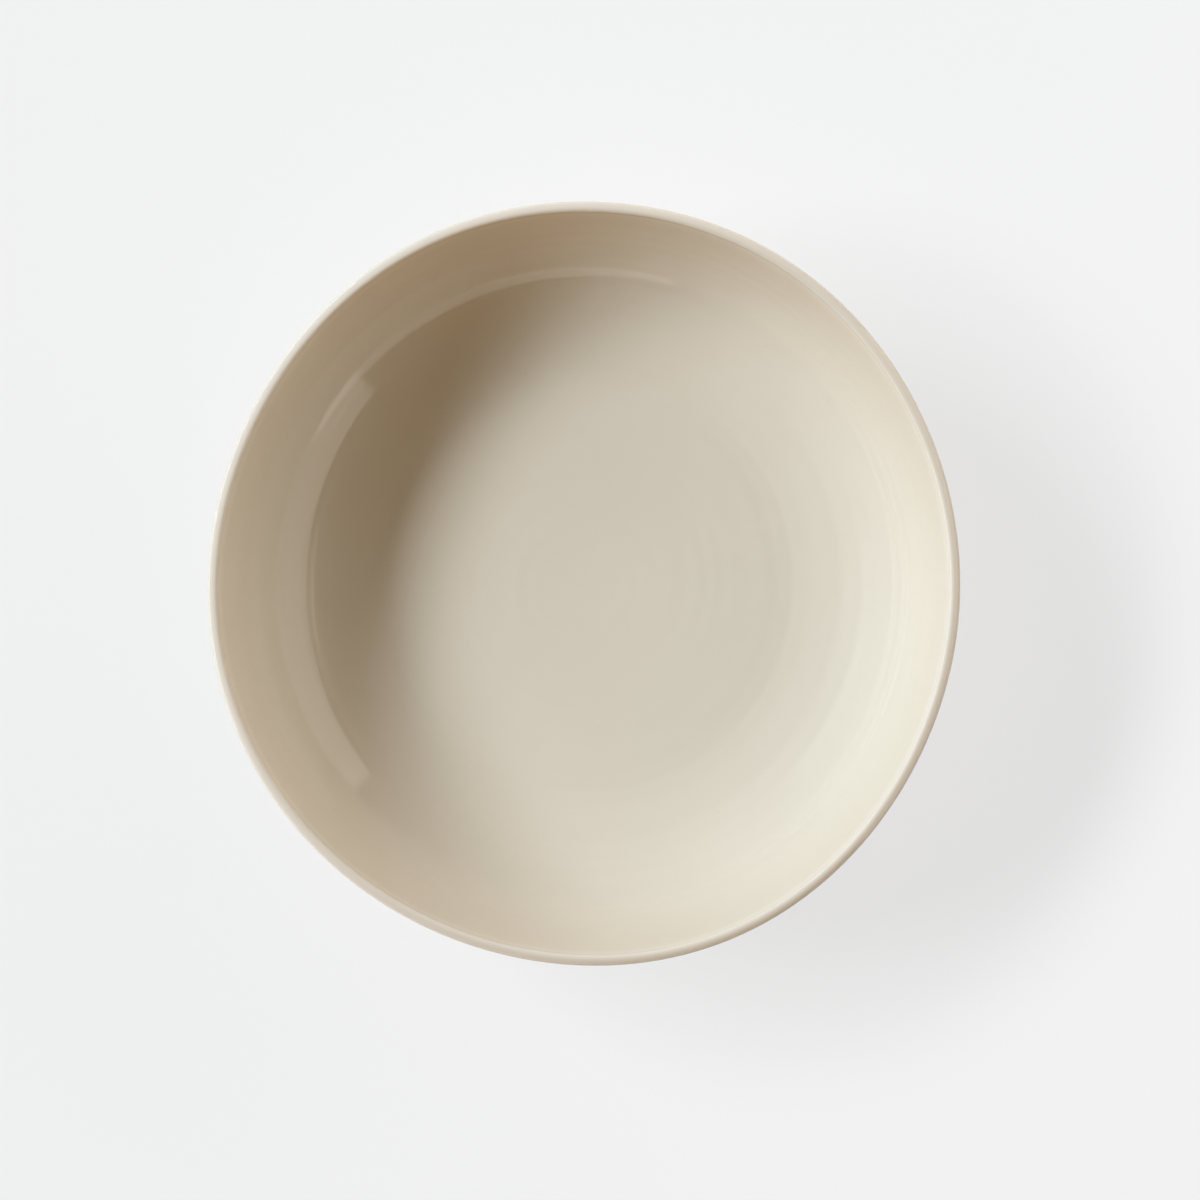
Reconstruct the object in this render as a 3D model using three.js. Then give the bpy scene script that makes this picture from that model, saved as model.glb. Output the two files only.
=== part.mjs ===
// A wheel-thrown stoneware serving bowl: one clay body with a turned foot ring, and the glaze coats fused on to it.
// Millimetres, +Z up. The bowl's axis is Z and its bare foot stands on Z = 0.
import * as THREE from "three";

// Outside sizes, over the glaze
const RIM_RADIUS = 145;
const HEIGHT = 70;
const LIP_THICKNESS = 4.2;

// Wall: nearly level at the heel, a tight belly, and steep under the lip. Slopes are degrees from level.
const HEEL_SLOPE = 8;
const WALL_SLOPE = 72;
const HEEL_REACH = 0.775; // how far the heel holds its slope, as a share of the wall's run
const WALL_REACH = 0.41; // how far the steep wall holds its slope, as a share of its rise
const HEEL_THICKNESS = 6.5;

// Floor
const FLOOR_THICKNESS = 6;
const FLOOR_DISH = 2; // the floor's edge above its middle

// Foot ring, turned from the same clay
const FOOT_RADIUS = 76.5;
const FOOT_WIDTH = 6;
const FOOT_WELL_DEPTH = 6;
const COVE_RADIUS = 3.5; // between the foot and the underside of the wall
const WELL_FILLET = 2;
const EDGE_ROUND = 1.2;

// Glaze
const GLAZE_THICKNESS = 0.5;
const GLAZE_LINE = 2.5; // height above the standing face at which the coats stop
const GLAZE_BOND = 0.02; // hairline under the glaze, so that two solids never share a face

// The thrown rim is a little wider one way than the other.
const OUT_OF_ROUND = 1.26; // long half axis less the mean radius
const LONG_AXIS = 93.8; // degrees from +X

// Steps round the axis, along the wall, and round each small radius
const ROUND_STEPS = 56;
const WALL_STEPS = 10;
const SMALL_STEPS = 3;

const { degToRad, lerp } = THREE.MathUtils;
const point = (radius, height) => new THREE.Vector2(radius, height);
const heading = (degrees) => point(Math.cos(degToRad(degrees)), Math.sin(degToRad(degrees)));
const along = (start, direction, length) => start.clone().addScaledVector(direction, length);
const right = (direction) => point(direction.y, -direction.x);
const across = (spot) => point(-spot.x, spot.y);
const sweep = (steps, place) => Array.from({ length: steps + 1 }, (_, step) => place(step / steps));

// A corner turned at its radius, as the points from one straight side to the other.
function rounded(before, corner, after, radius) {
  const toBefore = before.clone().sub(corner).normalize();
  const toAfter = after.clone().sub(corner).normalize();
  const half = Math.acos(toBefore.dot(toAfter)) / 2;
  const centre = along(corner, toBefore.clone().add(toAfter).normalize(), radius / Math.sin(half));
  const start = along(corner, toBefore, radius / Math.tan(half));
  const turn = Math.sign(toAfter.cross(toBefore)) * (Math.PI - 2 * half);
  return sweep(SMALL_STEPS, (share) => start.clone().rotateAround(centre, turn * share));
}

// Inside of the clay: a dished floor, then one curve up the wall to where the round lip begins.
const floorRadius = FOOT_RADIUS + COVE_RADIUS;
const floorMiddle = point(0, FOOT_WELL_DEPTH + FLOOR_THICKNESS);
const floorEdge = point(floorRadius, floorMiddle.y + FLOOR_DISH);
const lipRadius = LIP_THICKNESS / 2 - GLAZE_THICKNESS;
const lipCentre = point(RIM_RADIUS - LIP_THICKNESS / 2, HEIGHT - LIP_THICKNESS / 2);
const onLip = (degrees) => along(lipCentre, heading(degrees), lipRadius);
const lipInside = onLip(WALL_SLOPE + 90);
const innerWall = new THREE.CubicBezierCurve(
  floorEdge,
  along(floorEdge, heading(HEEL_SLOPE), HEEL_REACH * (lipInside.x - floorEdge.x)),
  along(lipInside, heading(WALL_SLOPE), -WALL_REACH * (lipInside.y - floorEdge.y)),
  lipInside,
);
const dish = new THREE.QuadraticBezierCurve(floorMiddle, point(floorRadius / 2, floorMiddle.y), floorEdge);

// Outside of the clay: set off from the inside by a wall that thickens evenly from the lip to the heel.
const outerWall = sweep(WALL_STEPS, (share) =>
  along(innerWall.getPoint(share), right(innerWall.getTangent(share)), lerp(HEEL_THICKNESS, 2 * lipRadius, share)),
);

// Foot ring: its corners, before they are rounded.
const wellRadius = FOOT_RADIUS - FOOT_WIDTH;
const wellMiddle = point(0, FOOT_WELL_DEPTH);
const wellCorner = point(wellRadius, FOOT_WELL_DEPTH);
const wellLine = point(wellRadius, GLAZE_LINE);
const footInside = point(wellRadius, 0);
const footOutside = point(FOOT_RADIUS, 0);
const footLine = point(FOOT_RADIUS, GLAZE_LINE);
const heel = outerWall[0];
const coveCorner = along(heel, heading(HEEL_SLOPE), (FOOT_RADIUS - heel.x) / heading(HEEL_SLOPE).x);

// The whole section, from the middle of the underside round the foot and over the lip to the middle of the floor.
const well = [wellMiddle, ...rounded(wellMiddle, wellCorner, wellLine, WELL_FILLET), wellLine];
const foot = [
  ...rounded(wellLine, footInside, footOutside, EDGE_ROUND),
  ...rounded(footInside, footOutside, footLine, EDGE_ROUND),
];
const outside = [
  footLine,
  ...rounded(footLine, coveCorner, heel, COVE_RADIUS),
  ...outerWall.slice(0, -1),
  ...sweep(SMALL_STEPS, (share) => onLip(lerp(WALL_SLOPE - 90, 90, share))),
];
const inside = [
  ...sweep(SMALL_STEPS, (share) => onLip(lerp(90, WALL_SLOPE + 90, share))).slice(1),
  ...innerWall.getPoints(WALL_STEPS).reverse().slice(1),
  ...dish.getPoints(SMALL_STEPS).reverse().slice(1),
];
const clay = [...well, ...foot, ...outside, ...inside];

// Glaze lies on the clay at one thickness, square to it. Its coats stop short of the foot and meet on the lip's crest.
const raised = (height) =>
  clay.map((spot, step) => {
    const before = clay[step - 1] ?? across(clay[step + 1]);
    const after = clay[step + 1] ?? across(clay[step - 1]);
    return along(spot, right(after.clone().sub(before).normalize()), height);
  });
const coat = (from, to) => [
  ...raised(GLAZE_THICKNESS).slice(from, to),
  ...raised(GLAZE_BOND).slice(from, to).reverse(),
];
const outsideStart = well.length + foot.length;
const crest = outsideStart + outside.length - 1;
const innerCoat = coat(crest, clay.length);
const outerCoat = coat(outsideStart, crest + 1);

const turned = new THREE.Matrix4().makeRotationZ(degToRad(LONG_AXIS));
const widened = new THREE.Matrix4().makeScale(1 + OUT_OF_ROUND / RIM_RADIUS, 1 - OUT_OF_ROUND / RIM_RADIUS, 1);
const outOfRound = turned.clone().multiply(widened).multiply(turned.clone().invert());

const bowl = new THREE.Group();
function addPiece(name, outline, material) {
  const geometry = new THREE.LatheGeometry(outline, ROUND_STEPS);
  geometry.rotateX(Math.PI / 2);
  geometry.applyMatrix4(outOfRound);
  const piece = new THREE.Mesh(geometry, material);
  piece.name = name;
  bowl.add(piece);
}

const stoneware = new THREE.MeshStandardMaterial({ color: 0xb7a58b, roughness: 0.85, metalness: 0 });
const creamGlaze = new THREE.MeshStandardMaterial({ color: 0xddd5c4, roughness: 0.15, metalness: 0 });

addPiece("clay_body", clay, stoneware);
addPiece("inner_glaze", [...innerCoat, innerCoat[0]], creamGlaze);
addPiece("outer_glaze", [...outerCoat, outerCoat[0]], creamGlaze);
addPiece("foot_well_glaze", coat(0, well.length), creamGlaze);

export default bowl;
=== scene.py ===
import math

import bmesh
import bpy
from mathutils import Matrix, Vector


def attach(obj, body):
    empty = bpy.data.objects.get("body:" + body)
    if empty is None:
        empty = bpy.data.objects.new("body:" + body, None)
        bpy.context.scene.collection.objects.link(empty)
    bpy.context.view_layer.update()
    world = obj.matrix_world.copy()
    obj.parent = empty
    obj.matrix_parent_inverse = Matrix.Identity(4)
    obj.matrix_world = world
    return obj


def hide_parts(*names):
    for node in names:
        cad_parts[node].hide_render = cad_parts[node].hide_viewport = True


# A wheel-thrown stoneware serving bowl in a cream glaze. Metres, in the frame of the CAD model:
# the bowl's axis is Z and its bare foot stands on Z = 0.
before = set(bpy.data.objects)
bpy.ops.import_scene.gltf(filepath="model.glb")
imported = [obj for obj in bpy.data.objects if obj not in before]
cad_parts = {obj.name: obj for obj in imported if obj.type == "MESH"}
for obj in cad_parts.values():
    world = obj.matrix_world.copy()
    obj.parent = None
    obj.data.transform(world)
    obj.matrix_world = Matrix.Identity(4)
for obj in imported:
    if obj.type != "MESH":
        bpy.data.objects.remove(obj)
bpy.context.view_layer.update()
scene = bpy.context.scene
scene.view_settings.view_transform = "Standard"

# Clay body: the wall, floor, lip and foot ring are one piece of buff stoneware, thrown on a wheel and turned
# when leather hard. Glaze covers it down to the foot ring, which stays bare and is rubbed smooth where it
# stands.
MM = 0.001
RIM_RADIUS = 145 * MM
BOWL_HEIGHT = 70 * MM
LIP_THICKNESS = 4.2 * MM
LIP_LEAN = 0.4
HEEL_SLOPE = math.radians(8)
WALL_SLOPE = math.radians(72)
HEEL_REACH = 0.83
WALL_REACH = 0.45
HEEL_THICKNESS = 6.5 * MM
FLOOR_THICKNESS = 5.3 * MM
FLOOR_RADIUS = 82.5 * MM
FLOOR_DISH = 3.4 * MM
FLOOR_FLAT_MIDDLE = 0.35
FLOOR_FLAT_EDGE = 0.9
FOOT_RADIUS = 76.5 * MM
FOOT_WIDTH = 6 * MM
FOOT_WELL_DEPTH = 6 * MM
COVE_RADIUS = 3.5 * MM
WELL_FILLET = 2 * MM
EDGE_ROUND = 1.2 * MM
GLAZE_THICKNESS = 0.5 * MM
GLAZE_LINE = 2.5 * MM

# Steps of the section, and round the axis
COLUMNS = 192
WALL_ROWS = 96
INSIDE_ROWS = 150
INSIDE_CROWDING = 0.6
FLOOR_ROWS = 64
WELL_ROWS = 24
LIP_ROWS = 18
ROUND_ROWS = 6
CREST_STEP = math.radians(0.5)
LINE_STEPS = (0.03 * MM, 0.1 * MM, 0.2 * MM, 0.35 * MM, 0.55 * MM, 0.8 * MM, 1.1 * MM)


def heading(angle):
    return Vector((math.cos(angle), math.sin(angle)))


def right_of(direction):
    return Vector((direction.y, -direction.x))


def bezier(points, share):
    while len(points) > 1:
        points = [first.lerp(second, share) for first, second in zip(points, points[1:])]
    return points[0]


def sweep(rows, place):
    return [place(row / rows) for row in range(rows + 1)]


def rounded(before, corner, after, radius):
    to_before = (before - corner).normalized()
    to_after = (after - corner).normalized()
    half = to_before.angle(to_after) / 2
    centre = corner + (to_before + to_after).normalized() * radius / math.sin(half)
    start = corner + to_before * radius / math.tan(half) - centre
    end = corner + to_after * radius / math.tan(half) - centre
    return sweep(ROUND_ROWS, lambda share: centre + start.lerp(end, share).normalized() * radius)


floor_middle = Vector((0, FOOT_WELL_DEPTH + FLOOR_THICKNESS))
floor_edge = Vector((FLOOR_RADIUS, floor_middle.y + FLOOR_DISH))
dish = [
    floor_middle,
    Vector((FLOOR_RADIUS * FLOOR_FLAT_MIDDLE, floor_middle.y)),
    Vector((FLOOR_RADIUS * FLOOR_FLAT_EDGE, floor_edge.y)),
    floor_edge,
]
lip_radius = LIP_THICKNESS / 2 - GLAZE_THICKNESS
lip_centre = Vector((RIM_RADIUS - LIP_THICKNESS / 2, BOWL_HEIGHT - LIP_THICKNESS / 2))
lip_inside = lip_centre + heading(WALL_SLOPE + math.pi / 2) * lip_radius
wall = [
    floor_edge,
    floor_edge + heading(HEEL_SLOPE) * HEEL_REACH * (lip_inside.x - floor_edge.x),
    lip_inside - heading(WALL_SLOPE) * WALL_REACH * (lip_inside.y - floor_edge.y),
    lip_inside,
]


def wall_outside(share):
    # The wall thickens evenly from the lip down to the heel.
    pace = [(second - first) for first, second in zip(wall, wall[1:])]
    facing = right_of(bezier(pace, share).normalized())
    thickness = HEEL_THICKNESS + (2 * lip_radius - HEEL_THICKNESS) * share
    return bezier(wall, share) + facing * thickness


def wall_inside(share):
    # Down from the lip, with the rows crowded together half way, where the finger marks are.
    crowded = share + INSIDE_CROWDING * math.sin(2 * math.pi * share) / (2 * math.pi)
    return bezier(wall, 1 - crowded)


def lip_at(turn):
    # The round lip leans inwards: its crest is nearer to the inner edge, which is the tighter one.
    lean = LIP_LEAN * max(0, math.sin(turn)) ** 2
    return lip_centre + (heading(turn) - Vector((lean, 0))) * lip_radius


def lip(start, end):
    # The last step up to the crest is very short, so that the two coats' shading meets there without a seam.
    near = end + math.copysign(CREST_STEP, start - end)
    turns = sweep(LIP_ROWS, lambda share: start + (near - start) * share) + [end]
    return [lip_at(turn) for turn in turns]


def above(line):
    # Rows close together just above a glaze line on the foot's upright faces, where the glaze rolls off.
    return [line + Vector((0, step)) for step in LINE_STEPS]


well_radius = FOOT_RADIUS - FOOT_WIDTH
well_middle = Vector((0, FOOT_WELL_DEPTH))
well_corner = Vector((well_radius, FOOT_WELL_DEPTH))
well_line = Vector((well_radius, GLAZE_LINE))
foot_inside = Vector((well_radius, 0))
foot_outside = Vector((FOOT_RADIUS, 0))
foot_line = Vector((FOOT_RADIUS, GLAZE_LINE))
heel = wall_outside(0)
cove_corner = heel - heading(HEEL_SLOPE) * (heel.x - FOOT_RADIUS) / math.cos(HEEL_SLOPE)

# The section runs from the middle of the underside round the foot, up the outside, over the lip and down
# the inside.
well_fillet = rounded(well_middle, well_corner, well_line, WELL_FILLET)
well_side = sweep(WELL_ROWS, lambda share: well_middle.lerp(well_fillet[0], share))[:-1]
well_side += well_fillet + above(well_line)[::-1] + [well_line]
foot_side = rounded(well_line, foot_inside, foot_outside, EDGE_ROUND)
foot_side += rounded(foot_inside, foot_outside, foot_line, EDGE_ROUND)
cove = rounded(foot_line, cove_corner, heel, COVE_RADIUS)
outer_side = [foot_line] + above(foot_line) + cove + sweep(WALL_ROWS, wall_outside)[:-1]
outer_side += lip(WALL_SLOPE - math.pi / 2, math.pi / 2)
inner_side = lip(WALL_SLOPE + math.pi / 2, math.pi / 2)[::-1][1:]
inner_side += sweep(INSIDE_ROWS, wall_inside)[1:]
inner_side += sweep(FLOOR_ROWS, lambda share: bezier(dish, 1 - share))[1:]

# The potter's rib leaves no corner where the floor turns up into the wall.
SOFT_FROM, SOFT_TO = 66 * MM, 102 * MM
SOFT_PASSES = 50
for _ in range(SOFT_PASSES):
    inner_side = [
        (inner_side[i - 1] + 2 * spot + inner_side[i + 1]) / 4 if SOFT_FROM < spot.x < SOFT_TO else spot
        for i, spot in enumerate(inner_side)
    ]

clay_section = well_side + foot_side + outer_side + inner_side
outer_start = len(well_side) + len(foot_side)
crest = outer_start + len(outer_side) - 1


def facing_at(i):
    before = clay_section[i - 1] if i > 0 else Vector((-clay_section[i + 1].x, clay_section[i + 1].y))
    last = i == len(clay_section) - 1
    after = Vector((-clay_section[i - 1].x, clay_section[i - 1].y)) if last else clay_section[i + 1]
    return right_of((after - before).normalized())


facings = [facing_at(i) for i in range(len(clay_section))]
travels = [0.0]
for first, second in zip(clay_section, clay_section[1:]):
    travels.append(travels[-1] + (second - first).length)

# Throwing ridges: one shallow spiral, from the middle of the floor up the wall. It dies out towards the axis,
# the lip and the foot, and its pitch sways a little.
RIDGE_PITCH = 9 * MM
RIDGE_DRIFT = 31 * MM
RIDGE_SWAY = 1.4
INSIDE_RIDGE = 0.028 * MM
OUTSIDE_RIDGE = 0.030 * MM
RIDGE_FADE = 12 * MM
LIP_CLEAR = 0.4


def ridge_height(i):
    spot = clay_section[i]
    if outer_start <= i:
        height = INSIDE_RIDGE if i > crest else OUTSIDE_RIDGE
        below_lip = (BOWL_HEIGHT - spot.y) / RIDGE_FADE
        off_axis = spot.x / RIDGE_FADE
        off_foot = (spot.y - GLAZE_LINE) / RIDGE_FADE if i <= crest else 1
        return height * max(0, min(1, below_lip - LIP_CLEAR, off_axis, off_foot))
    off_fillet = (well_radius - WELL_FILLET - spot.x) / RIDGE_FADE
    return OUTSIDE_RIDGE * max(0, min(1, spot.x / RIDGE_FADE, off_fillet))


# Two finger marks on one side of the inside, half way up the wall: radius and height of each.
FINGER_MARKS = ((124.1 * MM, 0.20 * MM), (127.4 * MM, 0.40 * MM))
MARK_WIDTH = 1.0 * MM
MARK_SIDE = math.radians(-13)


def mark_height(i):
    if i <= crest:
        return 0
    offsets = [(height, (clay_section[i].x - radius) / MARK_WIDTH) for radius, height in FINGER_MARKS]
    return sum(height * math.exp(-(offset ** 2)) for height, offset in offsets)


ridges = [ridge_height(i) for i in range(len(clay_section))]
marks = [mark_height(i) for i in range(len(clay_section))]

# The thrown shape is a little out of round: an oval, and smaller lobes that fade from the rim to the foot.
OVAL = 1.26 * MM / RIM_RADIUS
LONG_AXIS = math.radians(93.8)
RIM_LOBES = (
    (3, 0.55 * MM, math.radians(-52.7)),
    (4, 0.43 * MM, math.radians(24.3)),
    (5, 0.13 * MM, math.radians(-12)),
    (6, 0.16 * MM, math.radians(-2)),
)
RIM_WAVE = 0.25 * MM
RIM_WAVE_CREST = math.radians(40)


def thrown(i, height, slide, angle):
    sway = RIDGE_SWAY * math.sin(travels[i] / RIDGE_DRIFT * 2 * math.pi)
    phase = 2 * math.pi * travels[i] / RIDGE_PITCH + angle + sway
    mark = marks[i] * max(0, math.cos(angle - MARK_SIDE)) ** 2
    spot = clay_section[i] + facings[i] * (height + mark + ridges[i] * math.sin(phase))
    lift = max(0, spot.y / BOWL_HEIGHT)
    lobes = sum(size * math.cos(count * (angle - top)) for count, size, top in RIM_LOBES)
    radius = spot.x + lobes * lift ** 2 * min(1, spot.x / RIDGE_FADE)
    level = spot.y + RIM_WAVE * math.cos(2 * (angle - RIM_WAVE_CREST)) * lift ** 3 + slide
    long_way = radius * math.cos(angle - LONG_AXIS) * (1 + OVAL)
    short_way = radius * math.sin(angle - LONG_AXIS) * (1 - OVAL)
    return (
        long_way * math.cos(LONG_AXIS) - short_way * math.sin(LONG_AXIS),
        long_way * math.sin(LONG_AXIS) + short_way * math.cos(LONG_AXIS),
        level,
    )


# The glaze line is sponged clean by hand, and wavers a little round the foot.
LINE_WAVES = ((3, 0.10 * MM, 0.4), (7, 0.07 * MM, 2.1), (16, 0.04 * MM, 5.0))


def waver(angle):
    return sum(size * math.cos(count * angle + turn) for count, size, turn in LINE_WAVES)


ON_AXIS = 0.01 * MM
BUTT_ANGLE = math.radians(60)


def turned_piece(name, rows, material):
    # Each row is a step of the clay's section, a height over it, and its share of the glaze line's waver.
    build = bmesh.new()
    rings = []
    for i, height, share in rows:
        count = 1 if clay_section[i].x < ON_AXIS else COLUMNS
        angles = [2 * math.pi * column / COLUMNS for column in range(count)]
        rings.append([build.verts.new(thrown(i, height, share * waver(angle), angle)) for angle in angles])
    for ring, following in zip(rings, rings[1:] + rings[:1]):
        for column in range(COLUMNS):
            corners = [
                ring[column % len(ring)],
                ring[(column + 1) % len(ring)],
                following[(column + 1) % len(following)],
                following[column % len(following)],
            ]
            corners = list(dict.fromkeys(corners))
            if len(corners) > 2:
                build.faces.new(corners)
    bmesh.ops.recalc_face_normals(build, faces=build.faces)
    mesh = bpy.data.meshes.new(name)
    build.to_mesh(mesh)
    build.free()
    mesh.shade_smooth()
    mesh.set_sharp_from_angle(angle=BUTT_ANGLE)
    mesh.materials.append(material)
    piece = bpy.data.objects.new(name, mesh)
    scene.collection.objects.link(piece)
    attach(piece, "root")
    return piece


def add_node(tree, kind, sockets=None, **settings):
    node = tree.nodes.new(kind)
    for name, value in settings.items():
        setattr(node, name, value)
    for name, value in (sockets or {}).items():
        if isinstance(value, bpy.types.NodeSocket):
            tree.links.new(value, node.inputs[name])
        else:
            node.inputs[name].default_value = value
    return node


def mixed(tree, share, first, second):
    node = add_node(tree, "ShaderNodeMix", {0: share, 6: first, 7: second}, data_type="RGBA")
    return node.outputs[2]


def ranged(tree, value, low, high, to_low, to_high):
    sockets = {"Value": value, "From Min": low, "From Max": high, "To Min": to_low, "To Max": to_high}
    return add_node(tree, "ShaderNodeMapRange", sockets, interpolation_type="SMOOTHSTEP").outputs[0]


def product(tree, first, second):
    return add_node(tree, "ShaderNodeMath", {0: first, 1: second}, operation="MULTIPLY").outputs[0]


def noise(tree, place, scale, detail):
    sockets = {"Vector": place, "Scale": scale, "Detail": detail}
    return add_node(tree, "ShaderNodeTexNoise", sockets).outputs[0]


def specks(tree, place, scale, edges, choice, share):
    # Soft dots in the middle of some cells of a fine net. The cell's own tint chooses which.
    cells = add_node(tree, "ShaderNodeTexVoronoi", {"Vector": place, "Scale": scale})
    near = ranged(tree, cells.outputs["Distance"], *edges, 0, 1)
    tint = add_node(tree, "ShaderNodeSeparateColor", {0: cells.outputs["Color"]}).outputs[0]
    return product(tree, near, ranged(tree, tint, *choice, 0, share))


def place_and_level(tree):
    place = add_node(tree, "ShaderNodeTexCoord").outputs["Object"]
    return place, add_node(tree, "ShaderNodeSeparateXYZ", {"Vector": place}).outputs["Z"]


def add_bump(tree, shader, strength, depth, height):
    bump = add_node(tree, "ShaderNodeBump", {"Strength": strength, "Distance": depth, "Height": height})
    tree.links.new(bump.outputs[0], shader.inputs["Normal"])


def new_material(name):
    material = bpy.data.materials.new(name)
    material.use_nodes = True
    tree = material.node_tree
    return material, tree, tree.nodes["Principled BSDF"]


# Bare stoneware: cloudy buff clay with iron specks, paler where the foot is rubbed on the table, and toasted
# by the kiln just under the glaze line.
BUFF_CLAY = (0.50, 0.385, 0.265, 1)
PALE_CLAY = (0.60, 0.49, 0.36, 1)
TOASTED_CLAY = (0.36, 0.21, 0.115, 1)
IRON_SPECK = (0.16, 0.09, 0.05, 1)
CLAY_CLOUD_SCALE, CLAY_CLOUD_DETAIL = 70, 3
CLAY_CLOUD_EDGES = (0.35, 0.65)
RUBBED_BAND, RUBBED_SHARE = (0.2 * MM, 0.0), 0.35
TOASTED_BAND, TOASTED_SHARE = (1.1 * MM, 2.4 * MM), 0.55
GROG_SCALE = 520
GROG_EDGES, GROG_CHOICE, GROG_SHARE = (0.30, 0.16), (0.70, 0.74), 0.7
GRAIN_SCALE, GRAIN_DETAIL = 1400, 4
GRAIN_EDGES = (0.3, 0.7)
GRAIN_STRENGTH, GRAIN_DEPTH = 0.6, 0.12 * MM
CLAY_ROUGHNESS = (0.72, 0.92)

stoneware, tree, shader = new_material("bare_stoneware")
place, level = place_and_level(tree)
clouds = ranged(tree, noise(tree, place, CLAY_CLOUD_SCALE, CLAY_CLOUD_DETAIL), *CLAY_CLOUD_EDGES, 0, 1)
clay_colour = mixed(tree, clouds, BUFF_CLAY, PALE_CLAY)
clay_colour = mixed(tree, ranged(tree, level, *RUBBED_BAND, 0, RUBBED_SHARE), clay_colour, PALE_CLAY)
clay_colour = mixed(tree, ranged(tree, level, *TOASTED_BAND, 0, TOASTED_SHARE), clay_colour, TOASTED_CLAY)
grog = specks(tree, place, GROG_SCALE, GROG_EDGES, GROG_CHOICE, GROG_SHARE)
tree.links.new(mixed(tree, grog, clay_colour, IRON_SPECK), shader.inputs["Base Color"])
grain = noise(tree, place, GRAIN_SCALE, GRAIN_DETAIL)
tree.links.new(ranged(tree, grain, *GRAIN_EDGES, *CLAY_ROUGHNESS), shader.inputs["Roughness"])
add_bump(tree, shader, GRAIN_STRENGTH, GRAIN_DEPTH, grain)

clay_body = turned_piece("clay_body_thrown", [(i, 0, 0) for i in range(len(clay_section))], stoneware)
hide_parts("clay_body")

# Inner glaze: a liner coat of glossy cream glaze, poured in, swirled and tipped out. It covers the inside
# from the middle of the floor to the crest of the lip, where it runs into the outer coat.
GLAZE_BOND = 0.02 * MM
CREAM = (0.752, 0.702, 0.596, 1)
CREAM_CLOUD = (0.744, 0.693, 0.586, 1)
# Painted shade: a darker cream, mixed in higher up the wall to darken the wall against the floor.
WALL_SHADE_CREAM = (0.69, 0.635, 0.53, 1)
# Partly painted light: a paler cream on the lip, partly the thicker overlapping coat, partly to brighten the
# crest.
LIP_OVERLAP_AND_LIGHT_CREAM = (0.76, 0.714, 0.622, 1)
GLAZE_FLECK = (0.36, 0.27, 0.17, 1)
GLAZE_CLOUD_SCALE, GLAZE_CLOUD_DETAIL = 16, 3
GLAZE_CLOUD_EDGES = (0.35, 0.7)
# Painted shade comes in over this band of heights, up to this share.
WALL_SHADE_BAND, WALL_SHADE_SHARE = (16 * MM, 66 * MM), 0.5
# The paler lip comes in over this band: partly the overlapping coats, partly painted light.
LIP_OVERLAP_AND_LIGHT_BAND = (63 * MM, 68.5 * MM)
FLECK_SCALE = 210
FLECK_EDGES, FLECK_CHOICE, FLECK_SHARE = (0.075, 0.03), (0.95, 0.97), 0.3
SMEAR_SCALE, SMEAR_DETAIL = 45, 2
SMEAR_EDGES = (0.3, 0.7)
GLAZE_ROUGHNESS = (0.065, 0.095)
RIPPLE_SCALE, RIPPLE_DETAIL = 420, 2
RIPPLE_STRENGTH, RIPPLE_DEPTH = 0.3, 0.004 * MM
GLAZE_IOR = 1.52


def glaze_group():
    # Cream glaze, as masks over one colour: soft clouds, painted shade that darkens it higher up the wall, a
    # paler lip where the inner and outer coats overlap, partly painted light on the crest, and a few tiny
    # flecks.
    group = bpy.data.node_groups.new("cream_glaze", "ShaderNodeTree")
    for name in ("Cream", "Cloud", "Wall shade", "Lip overlap and light"):
        group.interface.new_socket(name, in_out="INPUT", socket_type="NodeSocketColor")
    group.interface.new_socket("Color", in_out="OUTPUT", socket_type="NodeSocketColor")
    for name in ("Roughness", "Height"):
        group.interface.new_socket(name, in_out="OUTPUT", socket_type="NodeSocketFloat")
    given = group.nodes.new("NodeGroupInput").outputs
    result = group.nodes.new("NodeGroupOutput").inputs
    place, level = place_and_level(group)
    clouds = noise(group, place, GLAZE_CLOUD_SCALE, GLAZE_CLOUD_DETAIL)
    clouds = ranged(group, clouds, *GLAZE_CLOUD_EDGES, 0, 1)
    colour = mixed(group, clouds, given["Cream"], given["Cloud"])
    # Painted shade: darker higher up the wall.
    colour = mixed(group, ranged(group, level, *WALL_SHADE_BAND, 0, WALL_SHADE_SHARE), colour, given["Wall shade"])
    # The paler lip: partly the thicker overlapping coat, partly painted light on the crest.
    colour = mixed(group, ranged(group, level, *LIP_OVERLAP_AND_LIGHT_BAND, 0, 1), colour, given["Lip overlap and light"])
    flecks = specks(group, place, FLECK_SCALE, FLECK_EDGES, FLECK_CHOICE, FLECK_SHARE)
    group.links.new(mixed(group, flecks, colour, GLAZE_FLECK), result["Color"])
    smear = noise(group, place, SMEAR_SCALE, SMEAR_DETAIL)
    group.links.new(ranged(group, smear, *SMEAR_EDGES, *GLAZE_ROUGHNESS), result["Roughness"])
    group.links.new(noise(group, place, RIPPLE_SCALE, RIPPLE_DETAIL), result["Height"])
    return group


def glaze_material(name):
    material, tree, shader = new_material(name)
    coat = add_node(tree, "ShaderNodeGroup", node_tree=cream_glaze)
    tints = {"Cream": CREAM, "Cloud": CREAM_CLOUD, "Wall shade": WALL_SHADE_CREAM, "Lip overlap and light": LIP_OVERLAP_AND_LIGHT_CREAM}
    for socket, colour in tints.items():
        coat.inputs[socket].default_value = colour
    tree.links.new(coat.outputs["Color"], shader.inputs["Base Color"])
    tree.links.new(coat.outputs["Roughness"], shader.inputs["Roughness"])
    add_bump(tree, shader, RIPPLE_STRENGTH, RIPPLE_DEPTH, coat.outputs["Height"])
    shader.inputs["IOR"].default_value = GLAZE_IOR
    return material


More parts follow.
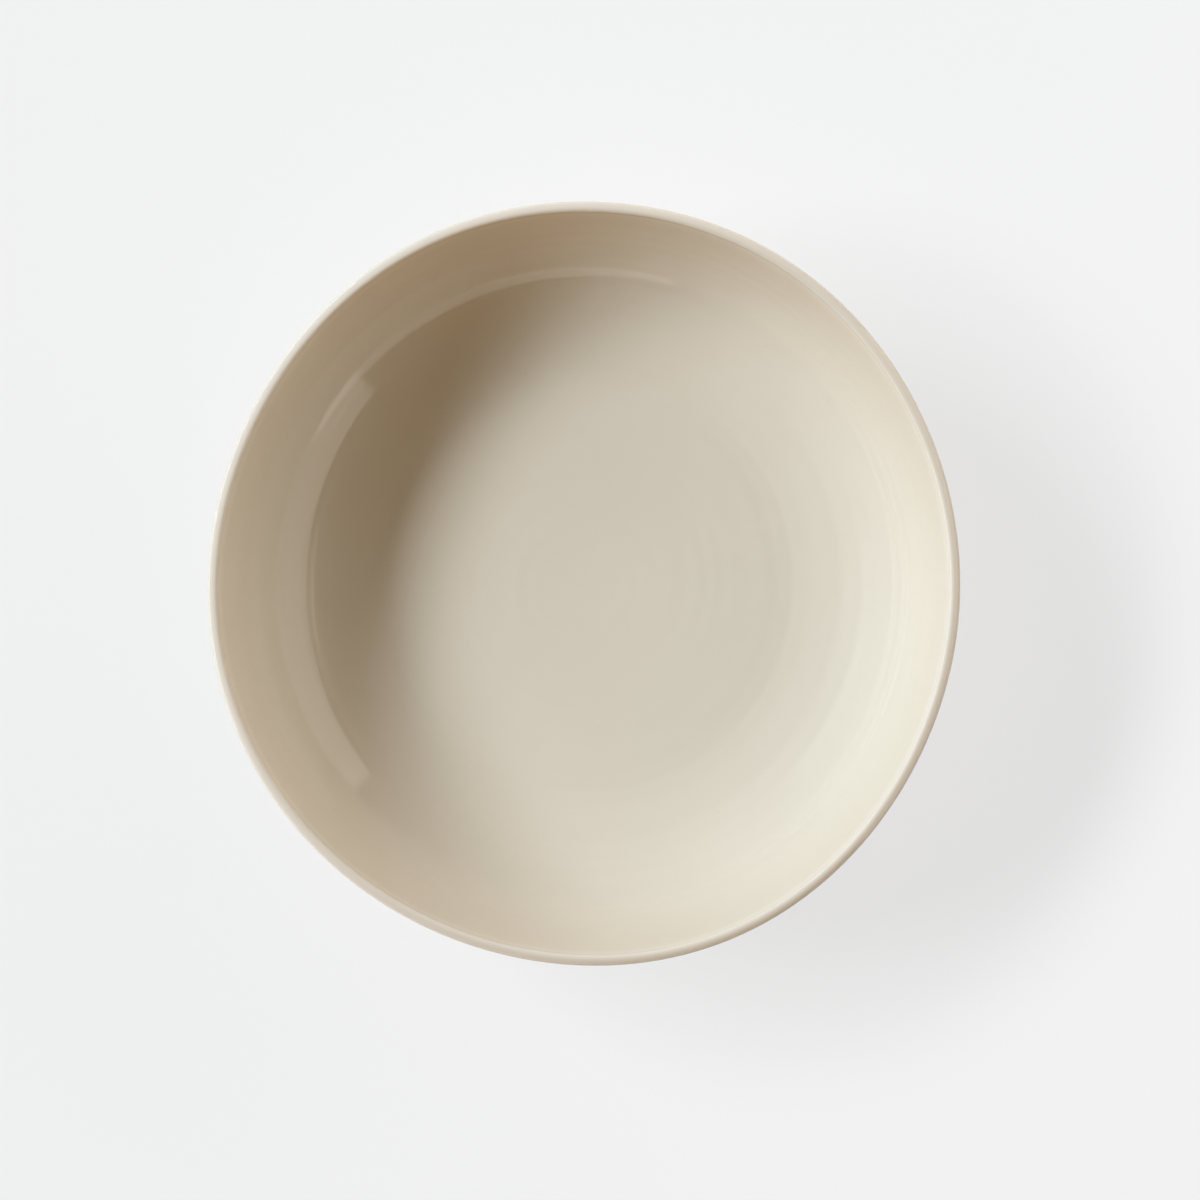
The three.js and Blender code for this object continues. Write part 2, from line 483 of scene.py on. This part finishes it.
cream_glaze = glaze_group()
inner_cream = glaze_material("inner_cream_glaze")
inside = range(crest, len(clay_section))
inner_rows = [(i, GLAZE_THICKNESS, 0) for i in inside] + [(i, GLAZE_BOND, 0) for i in reversed(inside)]
inner_glaze = turned_piece("inner_glaze_coat", inner_rows, inner_cream)
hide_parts("inner_glaze")

# Outer glaze: the same cream glaze, dipped on the outside from the crest of the lip down. It stops at a waxed
# line on the foot, where it gathers in a small bead.
BEAD_ROLL = 0.45 * MM
BEAD_SWELL = 0.16 * MM
WAVER_FADE = 1.2 * MM


def edged_rows(steps, line):
    # The coat's face, then its underside on the clay. At its line the coat rolls down to the clay, in a bead.
    face, underside = [], []
    for i in steps:
        run = abs(travels[i] - travels[line])
        roll = math.sqrt(1 - max(0, 1 - run / BEAD_ROLL) ** 2)
        swell = BEAD_SWELL * math.exp(-((run / BEAD_ROLL - 1) ** 2))
        share = max(0, 1 - run / WAVER_FADE)
        face.append((i, GLAZE_BOND + (GLAZE_THICKNESS - GLAZE_BOND + swell) * roll, share))
        if i != line:
            underside.append((i, GLAZE_BOND, share))
    return face + underside[::-1]


outer_cream = glaze_material("outer_cream_glaze")
outer_rows = edged_rows(range(outer_start, crest + 1), outer_start)
outer_glaze = turned_piece("outer_glaze_coat", outer_rows, outer_cream)
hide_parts("outer_glaze")

# Foot-well glaze: a disc of the same cream glaze on the underside, brushed on inside the foot ring. It stops
# at a line on the ring's inner face, and the bare ring keeps it apart from the outer coat.
well_cream = glaze_material("well_cream_glaze")
well_rows = edged_rows(range(len(well_side)), len(well_side) - 1)
well_glaze = turned_piece("foot_well_glaze_coat", well_rows, well_cream)
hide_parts("foot_well_glaze")

# Table and backdrop: a wide sheet of matt white paper under the bowl, and far off all round it a screen that
# fades upwards. Seen directly or in the glaze they are an even pale grey. The table keeps the bowl's soft
# shadow, which is deeper right under the bowl.
TABLE_RADIUS = 6.0
STAGE_SIDES = 96
PAPER_WHITE = (0.92, 0.86, 0.81, 1)
TABLE_GLOW_COLOUR = (0.938, 0.970, 0.998, 1)
TABLE_GLOW = 0.967
TABLE_GLOW_SHARE = 0.72
CONTACT_GLOW_SHARE = 0.3
CONTACT_REACH = (85 * MM, 145 * MM)
SCREEN_HEIGHT = 2.2
SCREEN_GLOW = 0.888
SCREEN_FADE = (0.62, 1.35)


def seen_directly(tree):
    path = add_node(tree, "ShaderNodeLightPath").outputs
    seen = path["Is Camera Ray"]
    for ray in ("Is Glossy Ray", "Is Transmission Ray"):
        seen = add_node(tree, "ShaderNodeMath", {0: seen, 1: path[ray]}, operation="MAXIMUM").outputs[0]
    return seen


def stage_piece(name, corners, faces, material):
    mesh = bpy.data.meshes.new(name)
    mesh.from_pydata(corners, [], faces)
    mesh.materials.append(material)
    piece = bpy.data.objects.new(name, mesh)
    scene.collection.objects.link(piece)


table_paper, tree, shader = new_material("table_paper")
shader.inputs["Base Color"].default_value = PAPER_WHITE
shader.inputs["Roughness"].default_value = 1.0
shader.inputs["Specular IOR Level"].default_value = 0.0
place = add_node(tree, "ShaderNodeTexCoord").outputs["Object"]
off_axis = add_node(tree, "ShaderNodeVectorMath", {0: place}, operation="LENGTH").outputs["Value"]
glow_share = ranged(tree, off_axis, *CONTACT_REACH, CONTACT_GLOW_SHARE, TABLE_GLOW_SHARE)
share = product(tree, seen_directly(tree), glow_share)
glow = add_node(tree, "ShaderNodeEmission", {"Color": TABLE_GLOW_COLOUR, "Strength": TABLE_GLOW})
paper = add_node(tree, "ShaderNodeMixShader", {0: share, 1: shader.outputs[0], 2: glow.outputs[0]})
tree.links.new(paper.outputs[0], tree.nodes["Material Output"].inputs["Surface"])

screen_cloth, tree, shader = new_material("screen_cloth")
_, level = place_and_level(tree)
fade = ranged(tree, level, *SCREEN_FADE, SCREEN_GLOW, 0)
glow = add_node(tree, "ShaderNodeEmission", {"Strength": product(tree, seen_directly(tree), fade)})
tree.links.new(glow.outputs[0], tree.nodes["Material Output"].inputs["Surface"])

edge = [heading(2 * math.pi * side / STAGE_SIDES) * TABLE_RADIUS for side in range(STAGE_SIDES)]
table_edge = [(spot.x, spot.y, 0) for spot in edge]
screen_top = [(spot.x, spot.y, SCREEN_HEIGHT) for spot in edge]
screen_faces = [
    (side, STAGE_SIDES + side, STAGE_SIDES + (side + 1) % STAGE_SIDES, (side + 1) % STAGE_SIDES)
    for side in range(STAGE_SIDES)
]
stage_piece("table", table_edge, [tuple(range(STAGE_SIDES))], table_paper)
stage_piece("screen", table_edge + screen_top, screen_faces, screen_cloth)

# Light: a long low band of soft light from the left is the key. Wide panels on the right, at the back and in
# front fill the shade. The cards round the bowl light nothing, and show only as reflections in the glaze.
KEY_COLOUR = (0.848, 0.925, 1.0)
KEY_SPREAD = math.radians(14)
RIGHT_CARD_COLOUR = (1.0, 0.95, 0.88)
LEFT_CARD_COLOUR = (1.0, 1.0, 1.0)
ROOM_COLOUR = (0.094, 0.05, 0.005, 1)
POWER_BY_AREA = 4
# Each key: degrees round from +X, degrees up, strength.
KEYS = ((145, 35.5, 0.98), (157, 36, 0.87), (169, 35, 0.795), (181, 34.5, 1.05))
# Each panel: name, degrees round from +X, distance, width, lower and upper edge, radiance, colour, and
# whether the glaze mirrors it. A panel that it doesn't mirror lights the bowl.
PANELS = (
    ("right_fill", 0, 2.5, 4.2, 0.15, 4.4, 0.42, (1.0, 0.91, 0.80), False),
    ("right_card_top", 0, 2.4, 4.2, 1.70, 2.45, 1.12, RIGHT_CARD_COLOUR, True),
    ("right_card_middle", 0, 2.4, 4.2, 0.98, 1.70, 1.30, RIGHT_CARD_COLOUR, True),
    ("right_card_foot", 0, 2.4, 4.2, 0.30, 0.98, 1.0, RIGHT_CARD_COLOUR, True),
    ("low_card", 292, 3.0, 4.9, 0.40, 1.02, 0.88, (1.0, 0.94, 0.86), True),
    ("left_strip", 165, 3.0, 4.5, 0.10, 0.45, 4.0, LEFT_CARD_COLOUR, True),
    ("left_card", 163, 3.1, 4.4, 0.48, 0.66, 0.9, LEFT_CARD_COLOUR, True),
    ("back_fill", 45, 2.4, 3.2, 0.06, 1.35, 2.06, (1.0, 0.91, 0.86), False),
    ("front_fill", 258, 2.4, 3.2, 0.06, 1.35, 0.82, (1.0, 0.55, 0.22), False),
)


def add_lamp(name, kind, towards, colour, mirrored):
    data = bpy.data.lights.new(name, kind)
    data.color = colour
    lamp = bpy.data.objects.new(name, data)
    lamp.rotation_mode = "QUATERNION"
    lamp.rotation_quaternion = towards.to_track_quat("Z", "Y")
    lamp.visible_camera = False
    lamp.visible_glossy = mirrored
    lamp.visible_diffuse = not mirrored
    scene.collection.objects.link(lamp)
    return lamp, data


for azimuth, elevation, strength in KEYS:
    flat = heading(math.radians(azimuth)) * math.cos(math.radians(elevation))
    towards = Vector((flat.x, flat.y, math.sin(math.radians(elevation))))
    key, data = add_lamp(f"key_{azimuth}", "SUN", towards, KEY_COLOUR, False)
    data.energy = strength
    data.angle = KEY_SPREAD

for name, azimuth, distance, width, low, high, radiance, colour, mirrored in PANELS:
    flat = heading(math.radians(azimuth))
    panel, data = add_lamp(name, "AREA", Vector((flat.x, flat.y, 0)), colour, mirrored)
    panel.location = (flat.x * distance, flat.y * distance, (low + high) / 2)
    data.shape = "RECTANGLE"
    data.size = width
    data.size_y = high - low
    data.energy = radiance * POWER_BY_AREA * width * (high - low)

world = bpy.data.worlds.new("room")
scene.world = world
world.use_nodes = True
world.node_tree.nodes["Background"].inputs["Color"].default_value = ROOM_COLOUR

# Camera: straight down into the bowl from well above it, with the bowl a little left of and above the middle
# of the picture.
CAMERA_LENS = 100
CAMERA_SENSOR = 36
CAMERA_PLACE = (5.65 * MM, -6.2 * MM, BOWL_HEIGHT + 1272 * MM)
camera_data = bpy.data.cameras.new("camera")
camera_data.lens = CAMERA_LENS
camera_data.sensor_width = CAMERA_SENSOR
camera = bpy.data.objects.new("camera", camera_data)
camera.location = CAMERA_PLACE
scene.collection.objects.link(camera)
scene.camera = camera
